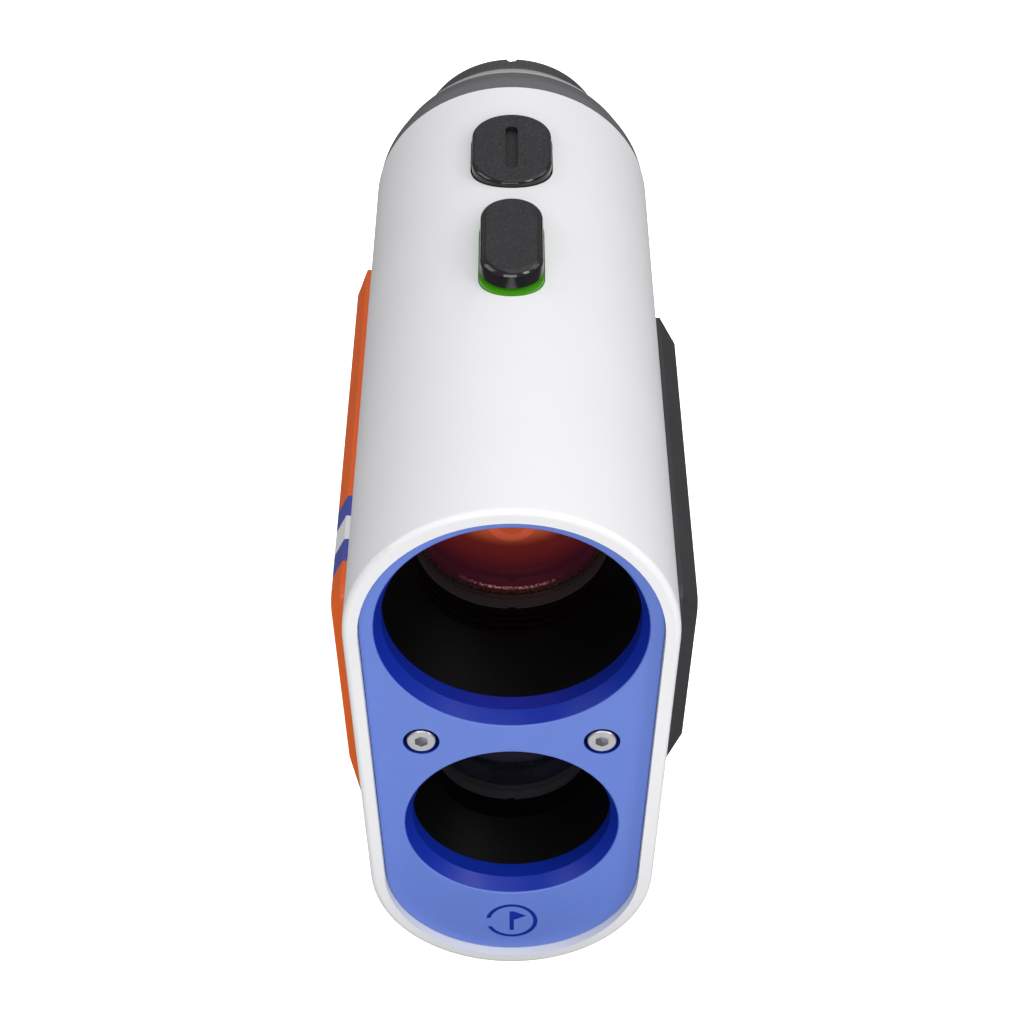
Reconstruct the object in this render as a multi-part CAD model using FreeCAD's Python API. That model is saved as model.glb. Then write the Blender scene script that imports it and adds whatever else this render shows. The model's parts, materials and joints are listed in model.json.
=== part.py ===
import FreeCAD, Part
import math
import os

# A handheld golf laser rangefinder, in millimetres.
# +X is the magnetic side, on the right as the front is looked at from outside.  +Y runs from the front rim
# back to the eyecup, +Z is up.  The origin is under the middle of the body, at its lowest point.

# ---- Body ----------------------------------------------------------------------------------------------
TOP_RADIUS = 19.2            # round top of the shell, at the front rim
BOTTOM_RADIUS = 17.55        # round underside of the shell, at the front rim
LOBE_SPACING = 41.7          # from the centre of the round top to the centre of the round underside
DRAFT = 0.55                 # how much smaller the shell's radii are at its rear end
SHELL_LENGTH = 86.2          # front rim to the shell's rear edge
SHELL_WALL = 1.75
RIM_DEPTH = 1.15             # the faceplate sits this far behind the rim
RIM_ROUND = 0.7
REAR_EDGE_ROUND = 0.3
CAP_LENGTH = 6.3             # rear cap, from the shell's edge to the cap's rear face
CAP_STEP = 0.05              # the cap is this much smaller than the shell where they meet
CAP_SHOULDER = 2.4           # length of the cap's nearly straight front part
CAP_SHOULDER_TAPER = 0.25    # what the shoulder loses along its length
CAP_TAPER = 1.6              # and what the whole cap loses
CAP_BEND = 6.0               # radius of the bend between shoulder and taper
EYEPIECE_LENGTH = 10.3       # diopter ring and eyecup, behind the rear cap

# ---- Fits ----------------------------------------------------------------------------------------------
RUNNING = 0.05               # radial clearance of a turning or sliding fit
LOCATING = 0.10              # clearance of a piece that is glued, screwed or clipped in place
MOVING_GAP = 0.30            # between a moving piece and its neighbours
BUTTON_GAP = 0.15            # around a button's stem

# ---- Optics --------------------------------------------------------------------------------------------
OPTICAL_SPACING = 33.3       # viewing axis to receiving axis
PLATE_THICKNESS = 3.94       # blue faceplate
OBJECTIVE_APERTURE = 15.75   # radius at the faceplate's front
OBJECTIVE_THROAT = 14.9      # radius behind the chamfer
OBJECTIVE_BORE = 11.54       # radius at the small end of the hood
OBJECTIVE_CONE_END = 11.06   # depth of the hood's small end
OBJECTIVE_TUBE_END = 15.5    # depth where the hood's tube ends
OBJECTIVE_GLASS_RADIUS = 12.3
OBJECTIVE_GLASS_DEPTH = 18.0  # vertex of the front lens
OBJECTIVE_CURVE = 400.0
OBJECTIVE_CEMENT_CURVE = 60.0  # between the objective's two lenses
OBJECTIVE_REAR_THICKNESS = 1.8
RECEIVER_APERTURE = 13.1
RECEIVER_THROAT = 12.2
RECEIVER_BORE = 9.62
RECEIVER_CONE_END = 9.4
RECEIVER_TUBE_END = 12.5
RECEIVER_GLASS_RADIUS = 10.4
RECEIVER_GLASS_DEPTH = 13.4
RECEIVER_CURVE = 30.0
CHAMFER_DEPTH = 1.88
EDGE_BREAK = 0.14            # on the rims of the faceplate's apertures
HOOD_WALL = 0.8
BARREL_WALL = 1.2
RING_LENGTH = 1.4            # visible band of each retaining ring

# ---- Faceplate screws (M2 socket cap) ------------------------------------------------------------------
FACE_SCREW_X = 10.7
FACE_SCREW_DROP = 18.4       # below the viewing axis
SCREW_HEAD_RADIUS = 1.74
SCREW_HEAD_HEIGHT = 2.0
SCREW_SHANK_RADIUS = 1.0
SCREW_LENGTH = 6.0           # under the head
SCREW_SOCKET_AF = 1.5        # across flats
SCREW_SOCKET_DEPTH = 1.1
COUNTERBORE_RADIUS = 2.18
INSERT_RADIUS = 1.6
FRAME_THICKNESS = 4.4        # front bulkhead behind the faceplate

# ---- Buttons -------------------------------------------------------------------------------------------
BUTTON_TRAVEL = 0.30
FRONT_BUTTON_DEPTH = 38.6    # front end of the front button, behind the faceplate's face
FRONT_BUTTON_LENGTH = 16.6
FRONT_BUTTON_WIDTH = 7.75
FRONT_BUTTON_RISE = 2.55     # above the shell
FRONT_BUTTON_LEAN = 0.6      # the front end slopes back by this much
FRONT_BUTTON_ROUND = 0.9
REAR_BUTTON_DEPTH = 60.9
REAR_BUTTON_LENGTH = 16.0
REAR_BUTTON_WIDTH = 10.3
REAR_BUTTON_RISE = 0.85
RING_LEAD = 0.8              # the light ring reaches this far in front of the button
RING_SIDE = 0.08             # and this far past it at the sides
RING_RISE = 0.15             # above the shell
BUTTON_FLANGE_THICKNESS = 1.2
BUTTON_BOARD_TOP = 11.7      # above the viewing axis
BUTTON_BOARD_THICKNESS = 1.0
BUTTON_BOARD_WIDTH = 14.0
DOME_RADIUS = 2.6
SLOT_WIDTH = 1.6             # groove in the rear button's top
SLOT_LENGTH = 9.6

# ---- Side plates ---------------------------------------------------------------------------------------
PLATE_FRONT_DEPTH = 5.9      # front edge of both plates
LEFT_PLATE_LENGTH = 63.8
LEFT_PLATE_RISE = 2.0
LEFT_PLATE_TOP = 1.0         # above the viewing axis, along the wall
LEFT_PLATE_HEIGHT = 37.6
LEFT_PLATE_LOW_FACET = 7.5   # width of the bottom facet
RIGHT_PLATE_LENGTH = 53.2
RIGHT_PLATE_RISE = 2.65
RIGHT_PLATE_TOP = 1.0
RIGHT_PLATE_HEIGHT = 29.8
RIGHT_PLATE_LOW_FACET = 4.0
PLATE_EDGE = 0.6             # upright edge of a plate, before its facets
PLATE_TOP_FACET = 2.7
PLATE_REAR_FACET = 1.9
PLATE_FRONT_FACET = 1.2
PLATE_CORNER = 1.5
PEG_RADIUS = 1.0
PEG_LENGTH = 2.6
MAGNET_RADIUS = 7.0
MAGNET_THICKNESS = 1.4

# ---- Rear: battery, door, eyepiece ---------------------------------------------------------------------
BATTERY_RADIUS = 7.8         # CR2 cell
BATTERY_LENGTH = 27.0
BATTERY_HEIGHT = 24.0        # of its axis over the origin
BATTERY_TUBE_WALL = 1.1
BATTERY_TUBE_LENGTH = 29.3
DOOR_RADIUS = 12.5
DOOR_THICKNESS = 2.3
DOOR_FACE_SET = 0.1          # the door's face is this far inside the cap's rear face
DOOR_LUG_WIDTH = 6.0
DOOR_PIN_RADIUS = 0.75
DOOR_PIN_LENGTH = 15.0
DOOR_PIN_HEIGHT = 7.6
DOOR_PIN_SET = 1.5           # pin axis, inside the cap's rear face
CAP_SCREWS = [(11.8, 39.0), (10.6, 13.0)]   # X and Z of the right-hand ones
CAP_SCREW_LENGTH = 14.0
EYE_TUBE_RADIUS = 11.6
EYE_TUBE_WALL = 1.3
EYE_TUBE_LEAD = 17.35        # the tube starts this far in front of the rear cap's rear face
EYE_TUBE_REACH = 6.05        # and ends this far behind it
EYE_CELL_WALL = 1.2
EYE_CELL_LENGTH = 18.0
EYE_CELL_LEAD = 12.85        # the cell starts this far in front of the cap's rear face
FOCUS_TRAVEL = 1.0           # each way, for half of the diopter ring's range
DIOPTER_LENGTH = 4.4
DIOPTER_RADIUS = 16.7
DIOPTER_WAIST_RADIUS = 15.83  # halfway back
EYECUP_BASE_RADIUS = 14.5
EYECUP_WAIST_RADIUS = 13.5
EYECUP_RIM_RADIUS = 12.9
EYECUP_BORE = 9.6
EYECUP_NOTCH_WIDTH = 1.1     # mark at the top of the rim
EYECUP_NOTCH_DEPTH = 1.5

# ---- Insides -------------------------------------------------------------------------------------------
TRAY_THICKNESS = 1.4
TRAY_DROP = 17.1             # tray's top, under the viewing axis
TRAY_START = 13.0
TRAY_LENGTH = 59.0
TRAY_WIDTH = 30.0
CAGE_START = 38.0
CAGE_LENGTH = 28.0
CAGE_WIDTH = 22.8
CAGE_WALL = 1.2
BOARD_THICKNESS = 1.0
BOARD_GAP = 1.0              # under the tray
BOARD_WIDTH = 26.4
BOARD_LENGTH = 55.0

# ---- Places worked out from the sizes ------------------------------------------------------------------
TOTAL_LENGTH = SHELL_LENGTH + CAP_LENGTH + EYEPIECE_LENGTH
RIM_Y = -TOTAL_LENGTH / 2
FACE_Y = RIM_Y + RIM_DEPTH
SHELL_REAR_Y = RIM_Y + SHELL_LENGTH
CAP_REAR_Y = SHELL_REAR_Y + CAP_LENGTH
EYE_TUBE_START = CAP_REAR_Y - FACE_Y - EYE_TUBE_LEAD
EYE_TUBE_END = CAP_REAR_Y - FACE_Y + EYE_TUBE_REACH
EYE_CELL_START = CAP_REAR_Y - FACE_Y - EYE_CELL_LEAD
LOW_Z = BOTTOM_RADIUS
AXIS_Z = BOTTOM_RADIUS + LOBE_SPACING
RECEIVER_Z = AXIS_Z - OPTICAL_SPACING
LEAN = math.asin((TOP_RADIUS - BOTTOM_RADIUS) / LOBE_SPACING)
TRAY_TOP_Z = AXIS_Z - TRAY_DROP
BUTTON_BOARD_Z = AXIS_Z + BUTTON_BOARD_TOP
BOTH_SIDES = (1, -1)


def V(x, y, z):
    return FreeCAD.Vector(x, y, z)


def depth(d):
    """The y of a plane this far behind the faceplate's front face."""
    return FACE_Y + d


def shrink(y):
    """How much the draft has taken off the shell's radii at y."""
    return DRAFT * (y - RIM_Y) / SHELL_LENGTH


# ---- Solids that the sub-parts are made of -------------------------------------------------------------
def body_outline(y, inset, drafted=True):
    """The body's section at y: a large arc over a smaller one, joined by their tangents."""
    less = inset + (shrink(y) if drafted else 0.0)
    top = TOP_RADIUS - less
    low = BOTTOM_RADIUS - less
    side = math.cos(LEAN)
    drop = math.sin(LEAN)
    top_right = V(top * side, y, AXIS_Z - top * drop)
    top_left = V(-top * side, y, AXIS_Z - top * drop)
    low_right = V(low * side, y, LOW_Z - low * drop)
    low_left = V(-low * side, y, LOW_Z - low * drop)
    edges = [
        Part.Arc(top_right, V(0, y, AXIS_Z + top), top_left).toShape(),
        Part.makeLine(top_left, low_left),
        Part.Arc(low_left, V(0, y, LOW_Z - low), low_right).toShape(),
        Part.makeLine(low_right, top_right),
    ]
    return Part.Wire(edges)


def body_slice(y0, y1, inset0, inset1=None, drafted=True):
    """A solid slice of the body between two sections, each set in by its inset."""
    end = inset0 if inset1 is None else inset1
    first = body_outline(y0, inset0, drafted)
    last = body_outline(y1, end, drafted)
    return Part.makeLoft([first, last], True, True)


def turned(points, x=0.0, z=0.0):
    """Turn a closed (radius, y) profile round an axis along Y at (x, z)."""
    corners = [V(r, y, 0) for r, y in points]
    face = Part.Face(Part.makePolygon(corners + corners[:1]))
    solid = face.revolve(V(0, 0, 0), V(0, 1, 0), 360)
    solid.translate(V(x, 0, z))
    return solid


def rod(radius, y0, y1, x=0.0, z=0.0):
    """A round bar along Y."""
    return Part.makeCylinder(radius, y1 - y0, V(x, y0, z), V(0, 1, 0))


def tube(outer, inner, y0, y1, x=0.0, z=0.0):
    return rod(outer, y0, y1, x, z).cut(rod(inner, y0 - 1, y1 + 1, x, z))


def block(x0, x1, y0, y1, z0, z1):
    return Part.makeBox(x1 - x0, y1 - y0, z1 - z0, V(x0, y0, z0))


def pill_outline(width, y0, y1, z):
    """A round-ended outline that lies flat, its length along Y."""
    r = width / 2
    edges = [
        Part.Arc(V(-r, y0 + r, z), V(0, y0, z), V(r, y0 + r, z)).toShape(),
        Part.makeLine(V(r, y0 + r, z), V(r, y1 - r, z)),
        Part.Arc(V(r, y1 - r, z), V(0, y1, z), V(-r, y1 - r, z)).toShape(),
        Part.makeLine(V(-r, y1 - r, z), V(-r, y0 + r, z)),
    ]
    return Part.Wire(edges)


def pill(width, y0, y1, z0, z1, narrower=0.0):
    """A round-ended block, its top narrower all round by the given amount."""
    low = pill_outline(width, y0, y1, z0)
    high = pill_outline(width - 2 * narrower, y0 + narrower, y1 - narrower, z1)
    return Part.makeLoft([low, high], True, True)


def edges_at(shape, test):
    """The edges whose every vertex passes a test."""
    return [e for e in shape.Edges if all(test(v.Point) for v in e.Vertexes)]


def mirrored(shape):
    return shape.mirror(V(0, 0, 0), V(1, 0, 0))


def both(shape):
    """The shape and its mirror image, as separate solids."""
    return Part.makeCompound([shape, mirrored(shape)])


# ---- Side plates' own frame ----------------------------------------------------------------------------
def wall_placement():
    """A frame on the right-hand wall: X back along it, Y up it, Z out of it; its origin at the plate's front."""
    y = depth(PLATE_FRONT_DEPTH)
    out = V(math.cos(LEAN), DRAFT / SHELL_LENGTH, -math.sin(LEAN))
    out.normalize()
    up = V(math.sin(LEAN), 0, math.cos(LEAN))
    back = up.cross(out)
    radius = TOP_RADIUS - shrink(y)
    start = V(radius * math.cos(LEAN), y, AXIS_Z - radius * math.sin(LEAN))
    return FreeCAD.Placement(start, FreeCAD.Rotation(back, up, out, "ZXY"))


def rounded_rectangle(x0, x1, y0, y1, z, r):
    """A rectangle with round corners, in the wall's frame."""
    k = r * (1 - math.sqrt(0.5))
    edges = [
        Part.makeLine(V(x0 + r, y0, z), V(x1 - r, y0, z)),
        Part.Arc(V(x1 - r, y0, z), V(x1 - k, y0 + k, z), V(x1, y0 + r, z)).toShape(),
        Part.makeLine(V(x1, y0 + r, z), V(x1, y1 - r, z)),
        Part.Arc(V(x1, y1 - r, z), V(x1 - k, y1 - k, z), V(x1 - r, y1, z)).toShape(),
        Part.makeLine(V(x1 - r, y1, z), V(x0 + r, y1, z)),
        Part.Arc(V(x0 + r, y1, z), V(x0 + k, y1 - k, z), V(x0, y1 - r, z)).toShape(),
        Part.makeLine(V(x0, y1 - r, z), V(x0, y0 + r, z)),
        Part.Arc(V(x0, y0 + r, z), V(x0 + k, y0 + k, z), V(x0 + r, y0, z)).toShape(),
    ]
    return Part.Wire(edges)


def peg_places(length, top, height):
    """Three peg centres on a plate, in the wall's frame."""
    middle = top - height / 2
    return [(length * 0.14, top - 6.0), (length * 0.14, top - height + 6.0), (length * 0.78, middle)]


def side_plate(length, top, height, rise, low_facet):
    """A plate with an upright edge and long facets, with pegs on its back, in the wall's frame."""
    low = top - height
    foot = rounded_rectangle(0, length, low, top, 0, PLATE_CORNER)
    edge = rounded_rectangle(0, length, low, top, PLATE_EDGE, PLATE_CORNER)
    crown = rounded_rectangle(
        PLATE_FRONT_FACET,
        length - PLATE_REAR_FACET,
        low + low_facet,
        top - PLATE_TOP_FACET,
        rise,
        PLATE_CORNER,
    )
    plate = Part.makeLoft([foot, edge], True, True).fuse(Part.makeLoft([edge, crown], True, True))
    for x, y in peg_places(length, top, height):
        plate = plate.fuse(Part.makeCylinder(PEG_RADIUS, PEG_LENGTH, V(x, y, 0), V(0, 0, -1)))
    return plate.removeSplitter()


def peg_holes(length, top, height):
    """The holes in the wall that take a plate's pegs."""
    reach = SHELL_WALL + PEG_LENGTH
    holes = [
        Part.makeCylinder(PEG_RADIUS + LOCATING, 2 * reach, V(x, y, reach), V(0, 0, -1))
        for x, y in peg_places(length, top, height)
    ]
    return Part.makeCompound(holes)


def on_right_wall(shape):
    placed = shape.copy()
    placed.Placement = wall_placement()
    return placed


def on_left_wall(shape):
    return mirrored(on_right_wall(shape))


def magnet_places():
    """Two magnet centres on the right plate, in the wall's frame."""
    middle = RIGHT_PLATE_TOP - RIGHT_PLATE_HEIGHT / 2
    return [(RIGHT_PLATE_LENGTH * 0.31, middle), (RIGHT_PLATE_LENGTH * 0.64, middle)]


def left_side_plate():
    plate = side_plate(
        LEFT_PLATE_LENGTH, LEFT_PLATE_TOP, LEFT_PLATE_HEIGHT, LEFT_PLATE_RISE, LEFT_PLATE_LOW_FACET
    )
    return on_left_wall(plate)


def right_side_plate():
    plate = side_plate(
        RIGHT_PLATE_LENGTH, RIGHT_PLATE_TOP, RIGHT_PLATE_HEIGHT, RIGHT_PLATE_RISE, RIGHT_PLATE_LOW_FACET
    )
    for x, y in magnet_places():
        plate = plate.cut(
            Part.makeCylinder(MAGNET_RADIUS + LOCATING, MAGNET_THICKNESS + LOCATING, V(x, y, 0))
        )
    return on_right_wall(plate)


def side_magnets():
    discs = [Part.makeCylinder(MAGNET_RADIUS, MAGNET_THICKNESS, V(x, y, 0)) for x, y in magnet_places()]
    return on_right_wall(Part.makeCompound(discs))


# ---- Shell ---------------------------------------------------------------------------------------------
BOSS_RADIUS = 2.8
BOSS_END = SHELL_REAR_Y - 4.6
BOSS_LENGTH = 8.0
RAIL_THICKNESS = 1.4
RAIL_DEPTH = 3.0


def shell_top(y):
    """Height of the shell's ridge at y."""
    return AXIS_Z + TOP_RADIUS - shrink(y)


def front_button_span():
    return depth(FRONT_BUTTON_DEPTH), depth(FRONT_BUTTON_DEPTH + FRONT_BUTTON_LENGTH)


def rear_button_span():
    return depth(REAR_BUTTON_DEPTH), depth(REAR_BUTTON_DEPTH + REAR_BUTTON_LENGTH)


def cap_screw_boss(x, z):
    """A boss with its web to the wall, for a rear cap screw."""
    y0 = BOSS_END - BOSS_LENGTH
    boss = rod(BOSS_RADIUS, y0, BOSS_END, x, z)
    web = block(x, TOP_RADIUS + 1, y0, BOSS_END, z - BOSS_RADIUS / 2, z + BOSS_RADIUS / 2)
    return boss.fuse(web)


def main_shell():
    outer = body_slice(RIM_Y, SHELL_REAR_Y, 0.0)
    outer = outer.makeFillet(RIM_ROUND, edges_at(outer, lambda p: abs(p.y - RIM_Y) < 0.01))
    outer = outer.makeFillet(REAR_EDGE_ROUND, edges_at(outer, lambda p: abs(p.y - SHELL_REAR_Y) < 0.01))
    inner = body_slice(RIM_Y - 1, SHELL_REAR_Y + 1, SHELL_WALL)
    shell = outer.cut(inner)
    rail = block(
        TRAY_WIDTH / 2 - RAIL_DEPTH / 2,
        TOP_RADIUS + 1,
        depth(TRAY_START),
        depth(TRAY_START) + TRAY_LENGTH,
        TRAY_TOP_Z - TRAY_THICKNESS - RAIL_THICKNESS,
        TRAY_TOP_Z - TRAY_THICKNESS,
    )
    inside = body_slice(RIM_Y, SHELL_REAR_Y, SHELL_WALL / 2)
    for lug in [rail] + [cap_screw_boss(x, z) for x, z in CAP_SCREWS]:
        kept = lug.common(inside)
        shell = shell.fuse(kept).fuse(mirrored(kept))
    for x, z in CAP_SCREWS:
        for side in BOTH_SIDES:
            shell = shell.cut(rod(SCREW_SHANK_RADIUS, BOSS_END - BOSS_LENGTH, BOSS_END + 1, side * x, z))
    ring_y0, ring_y1 = light_ring_span()
    ring_width = light_ring_width() + 2 * LOCATING
    shell = shell.cut(pill(ring_width, ring_y0 - LOCATING, ring_y1 + LOCATING, AXIS_Z, AXIS_Z + 30))
    y0, y1 = rear_button_span()
    gap = BUTTON_GAP
    shell = shell.cut(pill(REAR_BUTTON_WIDTH + 2 * gap, y0 - gap, y1 + gap, AXIS_Z, AXIS_Z + 30))
    shell = shell.cut(on_left_wall(peg_holes(LEFT_PLATE_LENGTH, LEFT_PLATE_TOP, LEFT_PLATE_HEIGHT)))
    shell = shell.cut(on_right_wall(peg_holes(RIGHT_PLATE_LENGTH, RIGHT_PLATE_TOP, RIGHT_PLATE_HEIGHT)))
    return shell.removeSplitter()


# ---- Front ---------------------------------------------------------------------------------------------
MARK_RADIUS = 3.3
MARK_LINE = 0.55
MARK_DEPTH = 0.22


def aperture(radius, throat, z):
    """The chamfered hole through the faceplate."""
    profile = [
        (0, depth(-1)),
        (radius + EDGE_BREAK, depth(-1)),
        (radius + EDGE_BREAK, depth(0)),
        (radius - EDGE_BREAK * (radius - throat) / CHAMFER_DEPTH, depth(EDGE_BREAK)),
        (throat, depth(CHAMFER_DEPTH)),
        (throat, depth(PLATE_THICKNESS + 1)),
        (0, depth(PLATE_THICKNESS + 1)),
    ]
    return turned(profile, 0, z)


def golf_flag_mark():
    """A generic flag in an open ring, cut into the faceplate under the lower aperture."""
    z = (RECEIVER_Z - RECEIVER_APERTURE + SHELL_WALL) / 2
    y0 = depth(-1)
    y1 = depth(MARK_DEPTH)
    ring = tube(MARK_RADIUS, MARK_RADIUS - MARK_LINE, y0, y1, 0, z)
    ring = ring.cut(block(-MARK_RADIUS - 1, -MARK_RADIUS * 0.4, y0 - 1, y1 + 1, z - 1.1, z + 0.5))
    pole = block(-MARK_LINE / 2, MARK_LINE / 2, y0, y1, z - 1.9, z + 1.9)
    corners = [V(MARK_LINE / 2, y0, z + 1.9), V(MARK_LINE / 2, y0, z + 0.1), V(1.9, y0, z + 1.0)]
    pennant = Part.Face(Part.makePolygon(corners + corners[:1])).extrude(V(0, y1 - y0, 0))
    return ring.fuse(pole).fuse(pennant)


def front_faceplate():
    plate = body_slice(depth(0), depth(PLATE_THICKNESS), SHELL_WALL + LOCATING)
    plate = plate.cut(aperture(OBJECTIVE_APERTURE, OBJECTIVE_THROAT, AXIS_Z))
    plate = plate.cut(aperture(RECEIVER_APERTURE, RECEIVER_THROAT, RECEIVER_Z))
    z = AXIS_Z - FACE_SCREW_DROP
    for side in BOTH_SIDES:
        x = side * FACE_SCREW_X
        plate = plate.cut(rod(COUNTERBORE_RADIUS, depth(-1), depth(SCREW_HEAD_HEIGHT), x, z))
        hole = SCREW_SHANK_RADIUS + LOCATING
        plate = plate.cut(rod(hole, depth(0), depth(PLATE_THICKNESS + 1), x, z))
    return plate.cut(golf_flag_mark())


def socket_screw(x, z, head_y, length):
    """A socket cap screw along Y, its head's top at head_y."""
    seat = head_y + SCREW_HEAD_HEIGHT
    head = rod(SCREW_HEAD_RADIUS, head_y, seat, x, z)
    head = head.makeChamfer(0.12, edges_at(head, lambda p: abs(p.y - head_y) < 0.01))
    screw = head.fuse(rod(SCREW_SHANK_RADIUS, seat, seat + length, x, z))
    corner = SCREW_SOCKET_AF / math.sqrt(3)
    points = [
        V(x + corner * math.sin(i * math.pi / 3), head_y - 1, z + corner * math.cos(i * math.pi / 3))
        for i in range(6)
    ]
    socket = Part.Face(Part.makePolygon(points + points[:1])).extrude(V(0, 1 + SCREW_SOCKET_DEPTH, 0))
    return screw.cut(socket)


def faceplate_screws():
    return both(socket_screw(FACE_SCREW_X, AXIS_Z - FACE_SCREW_DROP, depth(0), SCREW_LENGTH))


def insert_span():
    return depth(PLATE_THICKNESS), depth(PLATE_THICKNESS + FRAME_THICKNESS)


def faceplate_inserts():
    y0, y1 = insert_span()
    return both(tube(INSERT_RADIUS, SCREW_SHANK_RADIUS, y0, y1, FACE_SCREW_X, AXIS_Z - FACE_SCREW_DROP))


HOOD_FLANGE = 1.26
OBJECTIVE_FLANGE_RADIUS = OBJECTIVE_THROAT + 1.05
RECEIVER_FLANGE_RADIUS = RECEIVER_THROAT + 1.05


def front_frame():
    y0, y1 = insert_span()
    frame = body_slice(y0, y1, SHELL_WALL + LOCATING)
    step = depth(PLATE_THICKNESS) + HOOD_FLANGE
    for flange, throat, z in (
        (OBJECTIVE_FLANGE_RADIUS, OBJECTIVE_THROAT, AXIS_Z),
        (RECEIVER_FLANGE_RADIUS, RECEIVER_THROAT, RECEIVER_Z),
    ):
        frame = frame.cut(rod(flange + LOCATING, y0 - 1, step, 0, z))
        frame = frame.cut(rod(throat + HOOD_WALL / 2, y0, y1 + 1, 0, z))
    for side in BOTH_SIDES:
        x = side * FACE_SCREW_X
        frame = frame.cut(rod(INSERT_RADIUS, y0 - 1, y1 + 1, x, AXIS_Z - FACE_SCREW_DROP))
    return frame


def hood(throat, bore, cone_end, tube_end, flange, z):
    """A black funnel behind the faceplate that ends in a short tube, with three light-trap grooves."""
    start = depth(PLATE_THICKNESS)
    slope = (throat - bore) / (cone_end - PLATE_THICKNESS)
    outer = throat - slope * HOOD_FLANGE + HOOD_WALL
    profile = [
        (throat, start),
        (flange, start),
        (flange, start + HOOD_FLANGE),
        (outer, start + HOOD_FLANGE),
        (bore + HOOD_WALL, depth(cone_end)),
        (bore + HOOD_WALL, depth(tube_end)),
        (bore, depth(tube_end)),
        (bore, depth(cone_end)),
    ]
    solid = turned(profile, 0, z)
    pitch = (tube_end - cone_end) / 4
    for i in range(1, 4):
        y = depth(cone_end) + i * pitch
        solid = solid.cut(tube(bore + HOOD_WALL / 3, bore - 1, y - pitch / 4, y + pitch / 4, 0, z))
    return solid


def objective_hood():
    return hood(
        OBJECTIVE_THROAT,
        OBJECTIVE_BORE,
        OBJECTIVE_CONE_END,
        OBJECTIVE_TUBE_END,
        OBJECTIVE_FLANGE_RADIUS,
        AXIS_Z,
    )


def receiver_hood():
    return hood(
        RECEIVER_THROAT,
        RECEIVER_BORE,
        RECEIVER_CONE_END,
        RECEIVER_TUBE_END,
        RECEIVER_FLANGE_RADIUS,
        RECEIVER_Z,
    )


# ---- Objective and receiver barrels --------------------------------------------------------------------
def sagitta(curve, radius):
    """How far a sphere of radius curve falls back at this distance from its axis."""
    return curve - math.sqrt(curve * curve - radius * radius)


OBJECTIVE_EDGE = OBJECTIVE_GLASS_DEPTH + sagitta(OBJECTIVE_CURVE, OBJECTIVE_GLASS_RADIUS)
OBJECTIVE_SEAT = OBJECTIVE_EDGE + 5.6
OBJECTIVE_END = 34.0
CEMENT_GAP = 0.02
RECEIVER_EDGE = RECEIVER_GLASS_DEPTH + sagitta(RECEIVER_CURVE, RECEIVER_GLASS_RADIUS)
RECEIVER_SEAT = RECEIVER_EDGE + 3.4
RECEIVER_END = 28.0
SHOULDER = 1.2
BARREL_FLANGE = 1.5


def lens(radius, front_curve, vertex, rear_curve, rear_vertex, z):
    """A round lens: each face is a sphere, bulging forward for a positive radius, flat for None."""
    def face_points(curve, apex):
        if curve is None:
            return [V(radius, apex, 0)]
        fall = math.copysign(sagitta(abs(curve), radius), curve)
        half = math.copysign(sagitta(abs(curve), radius / 2), curve)
        return [V(radius, apex + fall, 0), V(radius / 2, apex + half, 0)]

    front = face_points(front_curve, vertex)
    rear = face_points(rear_curve, rear_vertex)
    edges = []
    if front_curve is None:
        edges.append(Part.makeLine(V(0, vertex, 0), front[0]))
    else:
        edges.append(Part.Arc(V(0, vertex, 0), front[1], front[0]).toShape())
    edges.append(Part.makeLine(front[0], rear[0]))
    if rear_curve is None:
        edges.append(Part.makeLine(rear[0], V(0, rear_vertex, 0)))
    else:
        edges.append(Part.Arc(rear[0], rear[1], V(0, rear_vertex, 0)).toShape())
    edges.append(Part.makeLine(V(0, rear_vertex, 0), V(0, vertex, 0)))
    solid = Part.Face(Part.Wire(edges)).revolve(V(0, 0, 0), V(0, 1, 0), 360)
    solid.translate(V(0, 0, z))
    return solid


def barrel(glass, start, seat, end, flange, z):
    """A lens barrel: a counterbore for glass and ring, a shoulder, and a flange that centres it."""
    bore = glass + LOCATING
    outer = bore + BARREL_WALL
    profile = [
        (bore, depth(start)),
        (flange, depth(start)),
        (flange, depth(start + BARREL_FLANGE)),
        (outer, depth(start + BARREL_FLANGE)),
        (outer, depth(end)),
        (glass - SHOULDER, depth(end)),
        (glass - SHOULDER, depth(seat)),
        (bore, depth(seat)),
    ]
    return turned(profile, 0, z)


def objective_barrel():
    flange = TOP_RADIUS - SHELL_WALL - DRAFT - LOCATING
    start = OBJECTIVE_CONE_END + 0.4
    return barrel(OBJECTIVE_GLASS_RADIUS, start, OBJECTIVE_SEAT, OBJECTIVE_END, flange, AXIS_Z)


def receiver_barrel():
    flange = RECEIVER_GLASS_RADIUS + 3.6
    start = RECEIVER_CONE_END + 0.4
    return barrel(RECEIVER_GLASS_RADIUS, start, RECEIVER_SEAT, RECEIVER_END, flange, RECEIVER_Z)


def retaining_ring(glass, bore, start, edge, z):
    """A ring screwed in front of a lens: a sloped bright band, then a lip that bears on the glass."""
    lip = glass - 0.7
    foot = edge - 0.25
    profile = [
        (glass, depth(start)),
        (glass, depth(foot)),
        (lip, depth(foot)),
        (lip, depth(start + RING_LENGTH)),
        (bore - 0.15, depth(start + RING_LENGTH)),
        (bore - 0.05, depth(start)),
    ]
    ring = turned(profile, 0, z)
    for side in BOTH_SIDES:
        notch = block(-0.4, 0.4, depth(start - 1), depth(start + 0.5), bore - 0.5, glass + 1)
        notch.rotate(V(0, 0, 0), V(0, 1, 0), 90 + 90 * side)
        notch.translate(V(0, 0, z))
        ring = ring.cut(notch)
    return ring


def objective_retaining_ring():
    start = OBJECTIVE_TUBE_END + 0.1
    return retaining_ring(OBJECTIVE_GLASS_RADIUS, OBJECTIVE_BORE, start, OBJECTIVE_EDGE, AXIS_Z)


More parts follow.
